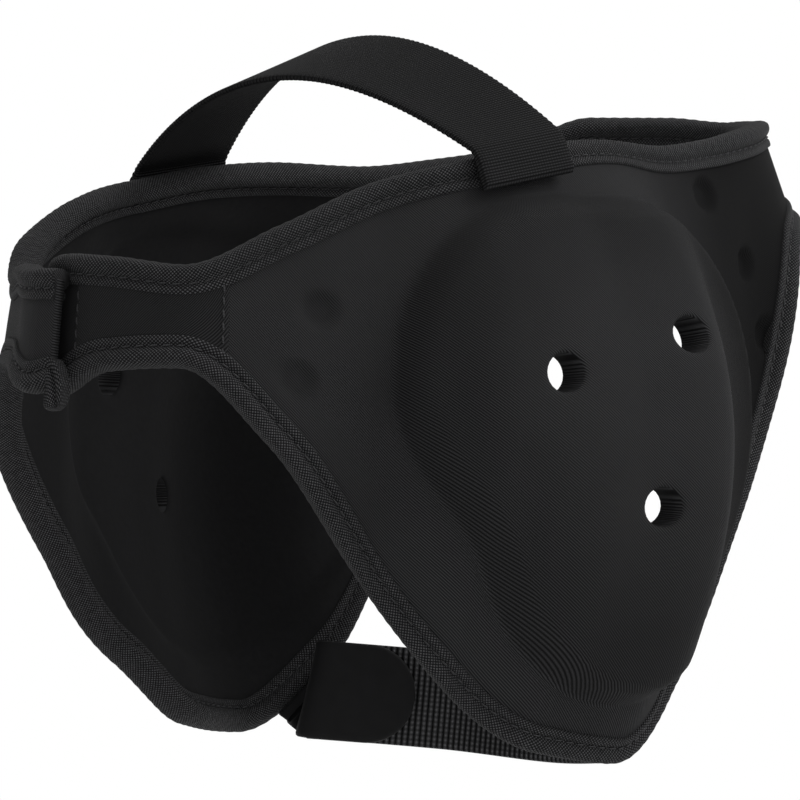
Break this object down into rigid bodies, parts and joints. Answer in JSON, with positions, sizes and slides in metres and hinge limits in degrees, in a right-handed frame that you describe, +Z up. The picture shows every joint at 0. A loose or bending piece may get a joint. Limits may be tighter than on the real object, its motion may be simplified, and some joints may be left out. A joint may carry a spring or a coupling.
{
  "type": "wrestling ear guard",
  "caption": "Soft padded band round the head with domed, vented ear lobes, bound edges, a lapped rear closure, a crown strap and a chin strap.",
  "frame": {"origin": "where the crown strap rests on the head, under the middle of its arch", "axes": "+Z up, -Y the way the wearer faces, +X the wearer's left"},
  "size_m": [0.2079, 0.2301, 0.1815],
  "materials": {
    "shell_fabric": "black fine twill over foam",
    "knit_binding": "black speckled knit",
    "elastic": "black elastic, fine cross ribs",
    "loop_fabric": "black brushed loop",
    "smooth_tab": "black smooth coated fabric",
    "webbing": "black ribbed webbing"
  },
  "bodies": {
    "root": {"padded_shell": "shell_fabric", "top_binding": "knit_binding", "bottom_binding": "knit_binding", "crown_strap": "elastic", "closure_patch": "loop_fabric", "chin_tab": "smooth_tab", "chin_webbing": "webbing"}
  },
  "joints": []
}
